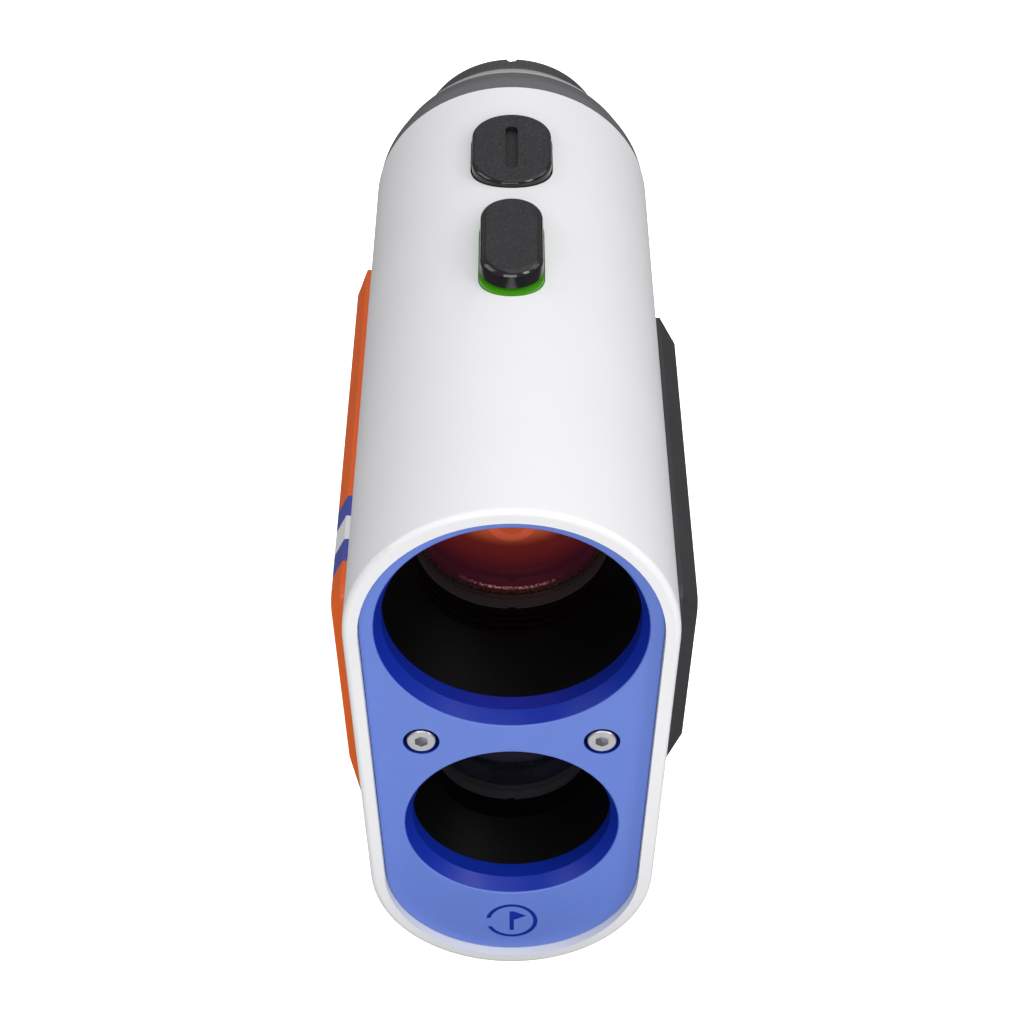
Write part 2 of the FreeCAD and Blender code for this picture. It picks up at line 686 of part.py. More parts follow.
def receiver_retaining_ring():
    start = RECEIVER_TUBE_END + 0.1
    return retaining_ring(
        RECEIVER_GLASS_RADIUS, RECEIVER_BORE + 0.15, start, RECEIVER_EDGE, RECEIVER_Z
    )


def objective_front_lens():
    front = depth(OBJECTIVE_GLASS_DEPTH)
    back = depth(OBJECTIVE_SEAT - OBJECTIVE_REAR_THICKNESS)
    return lens(OBJECTIVE_GLASS_RADIUS, OBJECTIVE_CURVE, front, -OBJECTIVE_CEMENT_CURVE, back, AXIS_Z)


def objective_rear_lens():
    front = depth(OBJECTIVE_SEAT - OBJECTIVE_REAR_THICKNESS + CEMENT_GAP)
    back = depth(OBJECTIVE_SEAT)
    return lens(OBJECTIVE_GLASS_RADIUS, -OBJECTIVE_CEMENT_CURVE, front, None, back, AXIS_Z)


def receiver_lens():
    front = depth(RECEIVER_GLASS_DEPTH)
    return lens(RECEIVER_GLASS_RADIUS, RECEIVER_CURVE, front, None, depth(RECEIVER_SEAT), RECEIVER_Z)


# ---- Insides -------------------------------------------------------------------------------------------
SENSOR_BOARD_DEPTH = 45.0
SENSOR_CAN_RADIUS = 4.1
CAGE_BASE_Z = TRAY_TOP_Z
CAGE_TOP_Z = BUTTON_BOARD_Z - BUTTON_BOARD_THICKNESS
PRISM_HALF_WIDTH = CAGE_WIDTH / 2 - CAGE_WALL - LOCATING
PRISM_LOW_Z = AXIS_Z - 11.2
PRISM_TOP_Z = CAGE_TOP_Z - CAGE_WALL - LOCATING
PRISM_START = CAGE_START + CAGE_WALL + LOCATING
PRISM_END = CAGE_START + CAGE_LENGTH - 0.4
PRISM_AIR_GAP = 0.2


def optical_tray():
    y0 = depth(TRAY_START)
    tray = block(
        -TRAY_WIDTH / 2, TRAY_WIDTH / 2, y0, y0 + TRAY_LENGTH, TRAY_TOP_Z - TRAY_THICKNESS, TRAY_TOP_Z
    )
    return tray


def prism_cage():
    y0 = depth(CAGE_START)
    y1 = y0 + CAGE_LENGTH
    half = CAGE_WIDTH / 2
    cage = block(-half, half, y0, y1, CAGE_BASE_Z, CAGE_TOP_Z)
    cage = cage.cut(
        block(
            -half + CAGE_WALL,
            half - CAGE_WALL,
            y0 + CAGE_WALL,
            y1 + 1,
            CAGE_BASE_Z + CAGE_WALL,
            CAGE_TOP_Z - CAGE_WALL,
        )
    )
    return cage.cut(rod(8.6, y0 - 1, y0 + CAGE_WALL + 1, 0, AXIS_Z))


def prism(points):
    """A glass prism with this (depth, z) side outline."""
    corners = [V(-PRISM_HALF_WIDTH, depth(d), z) for d, z in points]
    return Part.Face(Part.makePolygon(corners + corners[:1])).extrude(V(2 * PRISM_HALF_WIDTH, 0, 0))


def half_penta_prism():
    split = (PRISM_START + PRISM_END) / 2
    return prism(
        [
            (PRISM_START, PRISM_LOW_Z),
            (PRISM_START, PRISM_TOP_Z),
            (split - 6.0, PRISM_TOP_Z),
            (split + 2.5 - PRISM_AIR_GAP, PRISM_LOW_Z + 6.0),
            (split - 2.0, PRISM_LOW_Z),
        ]
    )


def roof_prism():
    split = (PRISM_START + PRISM_END) / 2
    return prism(
        [
            (split - 6.0 + PRISM_AIR_GAP, PRISM_TOP_Z),
            (PRISM_END, PRISM_TOP_Z),
            (PRISM_END, PRISM_LOW_Z + 2.0),
            (split + 2.5, PRISM_LOW_Z + 6.0),
        ]
    )


def laser_diode():
    z = CAGE_BASE_Z + CAGE_WALL
    y = depth(CAGE_START + CAGE_LENGTH * 0.62)
    flange = Part.makeCylinder(2.8, 0.8, V(0, y, z))
    return flange.fuse(Part.makeCylinder(2.0, 2.2, V(0, y, z)))


def display_frame():
    y0 = depth(CAGE_START + CAGE_LENGTH + 0.8)
    frame = block(-CAGE_WIDTH / 2, CAGE_WIDTH / 2, y0, y0 + 3.2, TRAY_TOP_Z, CAGE_TOP_Z - 0.4)
    frame = frame.cut(block(-8.6, 8.6, y0 - 1, y0 + 1.6, AXIS_Z - 9.6, AXIS_Z + 9.0))
    return frame.cut(block(-7.2, 7.2, y0, y0 + 4, AXIS_Z - 7.2, AXIS_Z + 7.2))


def display_panel():
    y0 = depth(CAGE_START + CAGE_LENGTH + 0.8)
    return block(-8.5, 8.5, y0 + 0.2, y0 + 1.6, AXIS_Z - 9.5, AXIS_Z + 8.9)


def main_board():
    top = TRAY_TOP_Z - TRAY_THICKNESS - BOARD_GAP
    y0 = depth(TRAY_START + 1)
    half = BOARD_WIDTH / 2
    board = block(-half, half, y0, y0 + BOARD_LENGTH, top - BOARD_THICKNESS, top)
    return board


def board_chips():
    """Processor, memory, regulator and the laser's storage capacitors, on the main board's underside."""
    z = TRAY_TOP_Z - TRAY_THICKNESS - BOARD_GAP - BOARD_THICKNESS
    chips = []
    for x, d, wide, long, tall in (
        (0.0, 32.5, 8.0, 8.0, 0.9),
        (-9.0, 33.0, 5.0, 4.0, 0.8),
        (8.6, 34.0, 4.0, 5.0, 0.8),
        (-8.5, 50.0, 3.0, 3.0, 1.2),
        (8.5, 50.0, 4.0, 7.0, 1.8),
        (0.0, 52.0, 6.0, 5.0, 1.0),
    ):
        y0 = depth(d)
        chips.append(block(x - wide / 2, x + wide / 2, y0, y0 + long, z - tall, z))
    return Part.makeCompound(chips)


def receiver_board():
    y0 = depth(SENSOR_BOARD_DEPTH)
    return block(-9.0, 9.0, y0, y0 + 1.2, RECEIVER_Z - 9.0, RECEIVER_Z + 9.0)


def receiver_sensor():
    y1 = depth(SENSOR_BOARD_DEPTH)
    can = rod(SENSOR_CAN_RADIUS, y1 - 3.2, y1, 0, RECEIVER_Z)
    return can.fuse(rod(SENSOR_CAN_RADIUS + 0.5, y1 - 0.8, y1, 0, RECEIVER_Z))


def vibration_motor():
    y1 = battery_tube_front()
    return rod(4.0, y1 - 2.7, y1, 0, BATTERY_HEIGHT)


# ---- Buttons -------------------------------------------------------------------------------------------
def light_ring_span():
    y0, y1 = front_button_span()
    return y0 - RING_LEAD, y1 + RING_SIDE


def light_ring_width():
    return FRONT_BUTTON_WIDTH + 2 * RING_SIDE


def ridge_over_front_button():
    return shell_top(depth(FRONT_BUTTON_DEPTH + FRONT_BUTTON_LENGTH / 2))


def ridge_over_rear_button():
    return shell_top(depth(REAR_BUTTON_DEPTH + REAR_BUTTON_LENGTH / 2))


FRONT_STEM_WIDTH = FRONT_BUTTON_WIDTH - 1.4
FRONT_STEM_SETBACK = 0.9
FRONT_FLANGE_Z = BUTTON_BOARD_Z + 2.8
FRONT_RING_BOTTOM_Z = FRONT_FLANGE_Z + BUTTON_FLANGE_THICKNESS + 0.2
REAR_FLANGE_Z = BUTTON_BOARD_Z + 2.4
REAR_FLANGE_WIDER = 0.8


def light_ring_top():
    return ridge_over_front_button() + RING_RISE


def button_light_ring():
    y0, y1 = light_ring_span()
    ring = pill(light_ring_width(), y0, y1, FRONT_RING_BOTTOM_Z, light_ring_top())
    b0, b1 = front_button_span()
    hole = pill(
        FRONT_STEM_WIDTH + 2 * BUTTON_GAP,
        b0 + FRONT_STEM_SETBACK - BUTTON_GAP,
        b1 - FRONT_STEM_SETBACK + BUTTON_GAP,
        FRONT_RING_BOTTOM_Z - 1,
        light_ring_top() + 1,
    )
    return ring.cut(hole)


def front_button():
    y0, y1 = front_button_span()
    base = light_ring_top() + BUTTON_TRAVEL + 0.08
    top = ridge_over_front_button() + FRONT_BUTTON_RISE
    low = pill_outline(FRONT_BUTTON_WIDTH, y0, y1, base)
    high = pill_outline(FRONT_BUTTON_WIDTH, y0 + FRONT_BUTTON_LEAN, y1, top)
    cap = Part.makeLoft([low, high], True, True)
    cap = cap.makeFillet(FRONT_BUTTON_ROUND, edges_at(cap, lambda p: abs(p.z - top) < 0.01))
    stem = pill(
        FRONT_STEM_WIDTH,
        y0 + FRONT_STEM_SETBACK,
        y1 - FRONT_STEM_SETBACK,
        FRONT_FLANGE_Z + BUTTON_FLANGE_THICKNESS / 2,
        base + 0.1,
    )
    flange = pill(FRONT_BUTTON_WIDTH, y0, y1, FRONT_FLANGE_Z, FRONT_FLANGE_Z + BUTTON_FLANGE_THICKNESS)
    return cap.fuse(stem).fuse(flange).removeSplitter()


def rear_button():
    y0, y1 = rear_button_span()
    top = ridge_over_rear_button() + REAR_BUTTON_RISE
    flange_top = REAR_FLANGE_Z + BUTTON_FLANGE_THICKNESS
    body = pill(REAR_BUTTON_WIDTH, y0, y1, flange_top - 0.1, top)
    body = body.makeFillet(0.5, edges_at(body, lambda p: abs(p.z - top) < 0.01))
    wide = REAR_FLANGE_WIDER
    flange = pill(REAR_BUTTON_WIDTH + 2 * wide, y0 - wide, y1 + wide, REAR_FLANGE_Z, flange_top)
    middle = (y0 + y1) / 2
    slot = pill(SLOT_WIDTH, middle - SLOT_LENGTH / 2, middle + SLOT_LENGTH / 2, top - 0.7, top + 1)
    return body.fuse(flange).cut(slot).removeSplitter()


def dome(span, flange_z):
    """A hollow silicone dome under a button, which pushes it back up."""
    y = sum(span) / 2
    tall = flange_z - BUTTON_BOARD_Z
    outer = Part.makeCone(DOME_RADIUS, DOME_RADIUS * 0.6, tall, V(0, y, BUTTON_BOARD_Z))
    hollow = Part.makeCone(DOME_RADIUS - 0.6, DOME_RADIUS * 0.6 - 0.6, tall - 0.7, V(0, y, BUTTON_BOARD_Z))
    return outer.cut(hollow)


def front_button_dome():
    return dome(front_button_span(), FRONT_FLANGE_Z)


def rear_button_dome():
    return dome(rear_button_span(), REAR_FLANGE_Z)


def button_board():
    y0 = depth(CAGE_START - 3)
    y1 = depth(EYE_TUBE_START - 0.6)
    half = BUTTON_BOARD_WIDTH / 2
    return block(-half, half, y0, y1, BUTTON_BOARD_Z - BUTTON_BOARD_THICKNESS, BUTTON_BOARD_Z)


def ring_lights():
    """Two small lamps under the front of the light ring."""
    y0 = depth(FRONT_BUTTON_DEPTH - RING_LEAD + 0.1)
    return both(block(1.0, 2.4, y0 - 1.0, y0 + 0.2, BUTTON_BOARD_Z, BUTTON_BOARD_Z + 0.8))


# ---- Battery -------------------------------------------------------------------------------------------
def battery_tube_front():
    return SHELL_REAR_Y - BATTERY_TUBE_LENGTH


def battery_front():
    return battery_tube_front() + BATTERY_TUBE_WALL + 1.9


def battery_tube():
    inner = BATTERY_RADIUS + MOVING_GAP
    y0 = battery_tube_front()
    cup = rod(inner + BATTERY_TUBE_WALL, y0, SHELL_REAR_Y, 0, BATTERY_HEIGHT)
    return cup.cut(rod(inner, y0 + BATTERY_TUBE_WALL, SHELL_REAR_Y + 1, 0, BATTERY_HEIGHT))


def battery():
    y0 = battery_front()
    nub = 0.9
    cell = rod(BATTERY_RADIUS, y0, y0 + BATTERY_LENGTH - nub, 0, BATTERY_HEIGHT)
    cell = cell.makeFillet(0.6, cell.Edges[:1] + cell.Edges[2:3])
    return cell.fuse(rod(3.0, y0 + BATTERY_LENGTH - nub - 0.1, y0 + BATTERY_LENGTH, 0, BATTERY_HEIGHT))


def battery_spring():
    """A short conical coil against the cell's flat end."""
    wire = 0.3
    tall = battery_front() - battery_tube_front() - BATTERY_TUBE_WALL - 2 * wire
    helix = Part.makeHelix(tall / 3, tall, 3.4)
    section = Part.Wire(Part.makeCircle(wire, V(3.4, 0, 0), V(0, 1, 0)))
    coil = Part.Wire(helix.Edges).makePipeShell([section], True, True)
    coil.rotate(V(0, 0, 0), V(1, 0, 0), -90)
    coil.translate(V(0, battery_tube_front() + BATTERY_TUBE_WALL + wire, BATTERY_HEIGHT))
    return coil


def door_faces():
    """The door's inner and outer faces."""
    outer = CAP_REAR_Y - DOOR_FACE_SET
    return outer - DOOR_THICKNESS, outer


def pin_y():
    return CAP_REAR_Y - DOOR_PIN_SET


def cross_rod(radius, x0, x1, y, z):
    """A round bar along X."""
    return Part.makeCylinder(radius, x1 - x0, V(x0, y, z), V(1, 0, 0))


def battery_door():
    y0, y1 = door_faces()
    disc = rod(DOOR_RADIUS, y0, y1, 0, BATTERY_HEIGHT)
    disc = disc.makeFillet(0.5, edges_at(disc, lambda p: abs(p.y - y1) < 0.01))
    half = DOOR_LUG_WIDTH / 2
    lug_radius = y1 - pin_y()
    knuckle = cross_rod(lug_radius, -half, half, pin_y(), DOOR_PIN_HEIGHT)
    lug = block(-half, half, pin_y() - lug_radius * 0.6, y1, DOOR_PIN_HEIGHT, BATTERY_HEIGHT - DOOR_RADIUS + 2)
    door = disc.fuse(knuckle).fuse(lug)
    door = door.cut(cross_rod(DOOR_PIN_RADIUS + RUNNING, -half - 1, half + 1, pin_y(), DOOR_PIN_HEIGHT))
    grip_z = BATTERY_HEIGHT + DOOR_RADIUS - 3.2
    for i in range(3):
        z = grip_z - 1.5 * i
        door = door.fuse(block(-4, 4, y1 - 0.2, y1 + 0.5, z - 0.35, z + 0.35))
    return door.removeSplitter()


def battery_door_pin():
    half = DOOR_PIN_LENGTH / 2
    return cross_rod(DOOR_PIN_RADIUS, -half, half, pin_y(), DOOR_PIN_HEIGHT)


GASKET_THICKNESS = 0.5


def battery_door_gasket():
    y0, _ = door_faces()
    inner = BATTERY_RADIUS + 2 * MOVING_GAP + 0.4
    return tube(inner + 1.8, inner, y0 - GASKET_THICKNESS, y0, 0, BATTERY_HEIGHT)


def battery_door_contact():
    y0, _ = door_faces()
    return rod(3.2, battery_front() + BATTERY_LENGTH + 0.1, y0, 0, BATTERY_HEIGHT)


# ---- Rear cap ------------------------------------------------------------------------------------------
SPIGOT_LENGTH = 4.0
SPIGOT_WALL = 1.4
GASKET_WIDTH = 1.2
GASKET_BITE = 0.7
DOOR_SLOT_DROP = 2.7
POCKET_CLEARANCE = 0.25


def rear_cap():
    y0 = SHELL_REAR_Y
    bend_y = y0 + CAP_SHOULDER
    inset = DRAFT + CAP_STEP
    shoulder = body_slice(y0, bend_y, inset, inset + CAP_SHOULDER_TAPER, False)
    taper = body_slice(bend_y, CAP_REAR_Y, inset + CAP_SHOULDER_TAPER, inset + CAP_TAPER, False)
    cap = shoulder.fuse(taper)
    cap = cap.makeFillet(CAP_BEND, edges_at(cap, lambda p: abs(p.y - bend_y) < 0.01))
    cap = cap.makeFillet(0.6, edges_at(cap, lambda p: abs(p.y - CAP_REAR_Y) < 0.01))
    spigot_inset = SHELL_WALL + LOCATING
    spigot = body_slice(y0 - SPIGOT_LENGTH, y0 + 0.5, spigot_inset)
    spigot = spigot.cut(body_slice(y0 - SPIGOT_LENGTH - 1, y0 + 1, spigot_inset + SPIGOT_WALL))
    cap = cap.fuse(spigot)
    cap = cap.cut(gasket_ring(GASKET_BITE, SHELL_WALL - 0.5))
    cap = cap.cut(rod(EYE_TUBE_RADIUS + LOCATING, y0 - 1, CAP_REAR_Y + 1, 0, AXIS_Z))
    inner_face, outer_face = door_faces()
    floor = inner_face - GASKET_THICKNESS - 0.05
    pocket = DOOR_RADIUS + POCKET_CLEARANCE
    cap = cap.cut(rod(pocket, floor, CAP_REAR_Y + 1, 0, BATTERY_HEIGHT))
    cap = cap.cut(rod(BATTERY_RADIUS + 2 * MOVING_GAP, y0 - 1, CAP_REAR_Y, 0, BATTERY_HEIGHT))
    half = DOOR_LUG_WIDTH / 2 + POCKET_CLEARANCE
    lug_room = outer_face - pin_y() + MOVING_GAP
    cap = cap.cut(
        block(
            -half,
            half,
            pin_y() - lug_room,
            CAP_REAR_Y + 1,
            DOOR_PIN_HEIGHT - DOOR_SLOT_DROP,
            BATTERY_HEIGHT - DOOR_RADIUS + 2,
        )
    )
    bore = DOOR_PIN_RADIUS + RUNNING
    cap = cap.cut(cross_rod(bore, -DOOR_PIN_LENGTH / 2 - 0.1, TOP_RADIUS, pin_y(), DOOR_PIN_HEIGHT))
    thumb_z = BATTERY_HEIGHT + DOOR_RADIUS
    cap = cap.cut(block(-4.5, 4.5, CAP_REAR_Y - 1.6, CAP_REAR_Y + 1, thumb_z - 1, thumb_z + 1.8))
    for x, z in CAP_SCREWS:
        for side in BOTH_SIDES:
            cap = cap.cut(rod(SCREW_SHANK_RADIUS + LOCATING, y0 - 1, CAP_REAR_Y + 1, side * x, z))
            head_y = CAP_REAR_Y - SCREW_HEAD_HEIGHT - 0.6
            cap = cap.cut(rod(SCREW_HEAD_RADIUS + LOCATING, head_y, CAP_REAR_Y + 1, side * x, z))
    return cap


def gasket_ring(bite, reach):
    """A band round the rear cap's spigot."""
    y0 = SHELL_REAR_Y - SPIGOT_LENGTH / 2 - GASKET_WIDTH / 2
    band = body_slice(y0, y0 + GASKET_WIDTH, reach)
    return band.cut(body_slice(y0 - 1, y0 + GASKET_WIDTH + 1, SHELL_WALL + LOCATING + bite))


def rear_cap_gasket():
    return gasket_ring(GASKET_BITE, SHELL_WALL + 0.02)


def rear_cap_screws():
    screws = []
    for x, z in CAP_SCREWS:
        screw = socket_screw(x, z, 0, CAP_SCREW_LENGTH)
        screw = screw.mirror(V(0, 0, 0), V(0, 1, 0))
        screw.translate(V(0, CAP_REAR_Y - 0.6, 0))
        screws += [screw, mirrored(screw)]
    return Part.makeCompound(screws)


# ---- Eyepiece ------------------------------------------------------------------------------------------
DIOPTER_START = SHELL_LENGTH - RIM_DEPTH + CAP_LENGTH + MOVING_GAP
FOCUS_PIN_DEPTH = DIOPTER_START + DIOPTER_LENGTH / 2
FOCUS_PIN_RADIUS = 0.6
EYE_TUBE_BORE = EYE_TUBE_RADIUS - EYE_TUBE_WALL
EYE_CELL_RADIUS = EYE_TUBE_BORE - RUNNING
EYE_LENS_RADIUS = EYE_CELL_RADIUS - EYE_CELL_WALL - 0.05
EYE_FLANGE = 1.6
EYECUP_START = DIOPTER_START + DIOPTER_LENGTH
EYECUP_END = SHELL_LENGTH - RIM_DEPTH + CAP_LENGTH + EYEPIECE_LENGTH


def focus_slot_half():
    return FOCUS_TRAVEL + FOCUS_PIN_RADIUS + RUNNING


def eyepiece_tube():
    seat = SHELL_REAR_Y
    body = tube(EYE_TUBE_RADIUS, EYE_TUBE_BORE, depth(EYE_TUBE_START), depth(EYE_TUBE_END), 0, AXIS_Z)
    body = body.fuse(tube(14.4, EYE_TUBE_BORE, seat - EYE_FLANGE, seat, 0, AXIS_Z))
    y = depth(FOCUS_PIN_DEPTH)
    slot = block(
        EYE_TUBE_BORE - 1,
        EYE_TUBE_RADIUS + 1,
        y - focus_slot_half(),
        y + focus_slot_half(),
        AXIS_Z - FOCUS_PIN_RADIUS - RUNNING,
        AXIS_Z + FOCUS_PIN_RADIUS + RUNNING,
    )
    return body.cut(slot)


def eyepiece_cell():
    """The sliding tube that holds the eyepiece's lenses."""
    y0 = depth(EYE_CELL_START)
    y1 = y0 + EYE_CELL_LENGTH
    inner = EYE_CELL_RADIUS - EYE_CELL_WALL
    cell = tube(EYE_CELL_RADIUS, inner, y0, y1, 0, AXIS_Z)
    lip = tube(inner + 0.1, inner - 1.0, y0, y0 + 1.0, 0, AXIS_Z)
    cell = cell.fuse(lip)
    hole = cross_rod(FOCUS_PIN_RADIUS, 0, EYE_TUBE_RADIUS, depth(FOCUS_PIN_DEPTH), AXIS_Z)
    return cell.cut(hole).removeSplitter()


FIELD_LENS_END = EYE_CELL_START + 5.6
EYE_LENS_START = EYE_CELL_START + 10.2
EYE_LENS_END = EYE_CELL_START + 15.6
FIELD_LENS_CURVE = 28.0
EYE_LENS_FRONT_CURVE = 24.0
EYE_LENS_REAR_CURVE = 30.0
EYE_SLEEVE_WALL = 0.85


def field_lens():
    front = depth(EYE_CELL_START + 1.2)
    return lens(EYE_LENS_RADIUS, None, front, -FIELD_LENS_CURVE, depth(FIELD_LENS_END), AXIS_Z)


def eye_lens():
    front = depth(EYE_LENS_START)
    return lens(
        EYE_LENS_RADIUS, EYE_LENS_FRONT_CURVE, front, -EYE_LENS_REAR_CURVE, depth(EYE_LENS_END), AXIS_Z
    )


def eyepiece_spacer():
    """The sleeve between the two lenses' edges."""
    inner = EYE_LENS_RADIUS - EYE_SLEEVE_WALL
    y0 = depth(FIELD_LENS_END) - sagitta(FIELD_LENS_CURVE, inner) + CEMENT_GAP
    y1 = depth(EYE_LENS_START) + sagitta(EYE_LENS_FRONT_CURVE, inner) - CEMENT_GAP
    return tube(EYE_LENS_RADIUS, inner, y0, y1, 0, AXIS_Z)


def eye_lens_ring():
    inner = EYE_LENS_RADIUS - EYE_SLEEVE_WALL
    y0 = depth(EYE_LENS_END) - sagitta(EYE_LENS_REAR_CURVE, inner) + CEMENT_GAP
    y1 = depth(EYE_CELL_START + EYE_CELL_LENGTH) - 0.3
    return tube(EYE_LENS_RADIUS, inner, y0, y1, 0, AXIS_Z)


def focus_pin():
    outer = EYE_TUBE_RADIUS + 1.2
    return cross_rod(
        FOCUS_PIN_RADIUS, EYE_LENS_RADIUS + 0.3, outer, depth(FOCUS_PIN_DEPTH), AXIS_Z
    )


def diopter_ring():
    y0 = depth(DIOPTER_START)
    y1 = y0 + DIOPTER_LENGTH
    bore = EYE_TUBE_RADIUS + RUNNING
    profile = [
        (bore, y0),
        (DIOPTER_RADIUS - 0.3, y0),
        (DIOPTER_RADIUS, y0 + 0.3),
        (DIOPTER_WAIST_RADIUS, (y0 + y1) / 2),
        (EYECUP_BASE_RADIUS + 0.3, y1 - 0.3),
        (EYECUP_BASE_RADIUS, y1),
        (bore, y1),
    ]
    ring = turned(profile, 0, AXIS_Z)
    groove = focus_slot_half() + 0.1
    y = depth(FOCUS_PIN_DEPTH)
    return ring.cut(tube(EYE_TUBE_RADIUS + 1.4, 1.0, y - groove, y + groove, 0, AXIS_Z))


def eyecup():
    y0 = depth(EYECUP_START)
    y1 = depth(EYECUP_END)
    base = EYECUP_BASE_RADIUS
    rim = EYECUP_RIM_RADIUS
    relief = EYE_TUBE_RADIUS + MOVING_GAP
    ledge = depth(EYE_TUBE_END) + MOVING_GAP
    edges = [
        Part.makeLine(V(relief, y0, 0), V(base, y0, 0)),
        Part.makeLine(V(base, y0, 0), V(EYECUP_WAIST_RADIUS, (y0 + y1) / 2, 0)),
        Part.makeLine(V(EYECUP_WAIST_RADIUS, (y0 + y1) / 2, 0), V(rim, y1 - 0.5, 0)),
        Part.Arc(V(rim, y1 - 0.5, 0), V(rim - 0.5, y1, 0), V(rim - 1.0, y1 - 0.5, 0)).toShape(),
        Part.Arc(V(rim - 1.0, y1 - 0.5, 0), V(rim - 1.5, y1 - 2.2, 0), V(EYECUP_BORE, ledge, 0)).toShape(),
        Part.makeLine(V(EYECUP_BORE, ledge, 0), V(relief, ledge, 0)),
        Part.makeLine(V(relief, ledge, 0), V(relief, y0, 0)),
    ]
    cup = Part.Face(Part.Wire(edges)).revolve(V(0, 0, 0), V(0, 1, 0), 360)
    cup.translate(V(0, 0, AXIS_Z))
    half = EYECUP_NOTCH_WIDTH / 2
    low = AXIS_Z + rim - 1.2
    return cup.cut(block(-half, half, y1 - EYECUP_NOTCH_DEPTH, y1 + 1, low, low + 3))


NODES = {
    "main_shell": main_shell,
    "front_faceplate": front_faceplate,
    "faceplate_screws": faceplate_screws,
    "faceplate_inserts": faceplate_inserts,
    "front_frame": front_frame,
    "objective_hood": objective_hood,
    "objective_barrel": objective_barrel,
    "objective_retaining_ring": objective_retaining_ring,
    "objective_front_lens": objective_front_lens,
    "objective_rear_lens": objective_rear_lens,
    "receiver_hood": receiver_hood,
    "receiver_barrel": receiver_barrel,
    "receiver_retaining_ring": receiver_retaining_ring,
    "receiver_lens": receiver_lens,
    "receiver_board": receiver_board,
    "receiver_sensor": receiver_sensor,
    "optical_tray": optical_tray,
    "prism_cage": prism_cage,
    "half_penta_prism": half_penta_prism,
    "roof_prism": roof_prism,
    "laser_diode": laser_diode,
    "display_frame": display_frame,
    "display_panel": display_panel,
    "main_board": main_board,
    "board_chips": board_chips,
    "vibration_motor": vibration_motor,
    "button_board": button_board,
    "ring_lights": ring_lights,
    "button_light_ring": button_light_ring,
    "front_button": front_button,
    "rear_button": rear_button,
    "front_button_dome": front_button_dome,
    "rear_button_dome": rear_button_dome,
    "left_side_plate": left_side_plate,
    "right_side_plate": right_side_plate,
    "side_magnets": side_magnets,
    "battery": battery,
    "battery_tube": battery_tube,
    "battery_spring": battery_spring,
    "battery_door": battery_door,
    "battery_door_pin": battery_door_pin,
    "battery_door_gasket": battery_door_gasket,
    "battery_door_contact": battery_door_contact,
    "rear_cap": rear_cap,
    "rear_cap_gasket": rear_cap_gasket,
    "rear_cap_screws": rear_cap_screws,
    "eyepiece_tube": eyepiece_tube,
    "eyepiece_cell": eyepiece_cell,
    "eyepiece_spacer": eyepiece_spacer,
    "field_lens": field_lens,
    "eye_lens": eye_lens,
    "eye_lens_ring": eye_lens_ring,
    "focus_pin": focus_pin,
    "diopter_ring": diopter_ring,
    "eyecup": eyecup,
}

os.makedirs("parts", exist_ok=True)
for node, make in NODES.items():
    shape = make()
    shape.exportStep("parts/" + node + ".step")
    box = shape.BoundBox
    print(
        f"{node:26s} solids {len(shape.Solids)} valid {shape.isValid()} volume {shape.Volume:9.1f}"
        f"  x {box.XMin:6.1f} {box.XMax:6.1f}  y {box.YMin:6.1f} {box.YMax:6.1f}  z {box.ZMin:6.1f} {box.ZMax:6.1f}"
    )
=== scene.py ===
import json
import math

import bmesh
import bpy
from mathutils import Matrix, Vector


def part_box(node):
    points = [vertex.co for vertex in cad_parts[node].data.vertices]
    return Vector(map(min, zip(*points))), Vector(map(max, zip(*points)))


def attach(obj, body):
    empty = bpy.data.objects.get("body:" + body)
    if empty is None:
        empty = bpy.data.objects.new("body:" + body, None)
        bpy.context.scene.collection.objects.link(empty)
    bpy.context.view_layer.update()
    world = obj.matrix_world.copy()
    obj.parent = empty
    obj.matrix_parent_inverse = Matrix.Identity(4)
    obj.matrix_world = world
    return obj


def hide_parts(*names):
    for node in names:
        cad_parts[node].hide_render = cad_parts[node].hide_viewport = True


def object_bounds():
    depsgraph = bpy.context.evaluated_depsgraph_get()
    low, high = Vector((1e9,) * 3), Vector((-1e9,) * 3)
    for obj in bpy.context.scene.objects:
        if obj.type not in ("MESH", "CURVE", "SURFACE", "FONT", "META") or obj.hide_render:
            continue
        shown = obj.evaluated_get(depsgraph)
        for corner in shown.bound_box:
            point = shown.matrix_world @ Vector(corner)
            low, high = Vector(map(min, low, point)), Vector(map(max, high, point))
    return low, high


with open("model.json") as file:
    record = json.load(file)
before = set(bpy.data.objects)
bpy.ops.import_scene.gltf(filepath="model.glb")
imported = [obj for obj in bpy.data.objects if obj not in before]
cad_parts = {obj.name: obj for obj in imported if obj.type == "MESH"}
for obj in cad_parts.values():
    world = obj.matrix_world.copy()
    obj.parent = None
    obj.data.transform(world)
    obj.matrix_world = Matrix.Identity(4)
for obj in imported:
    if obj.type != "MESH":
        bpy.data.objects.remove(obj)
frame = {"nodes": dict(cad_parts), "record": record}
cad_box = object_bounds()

MM = 0.001
FACE_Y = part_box("front_faceplate")[0].y      # the blue face
GLASS_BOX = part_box("objective_front_lens")
SLOT_OF = {part["node"]: part["material_slot"] for part in frame["record"]["subparts"]}


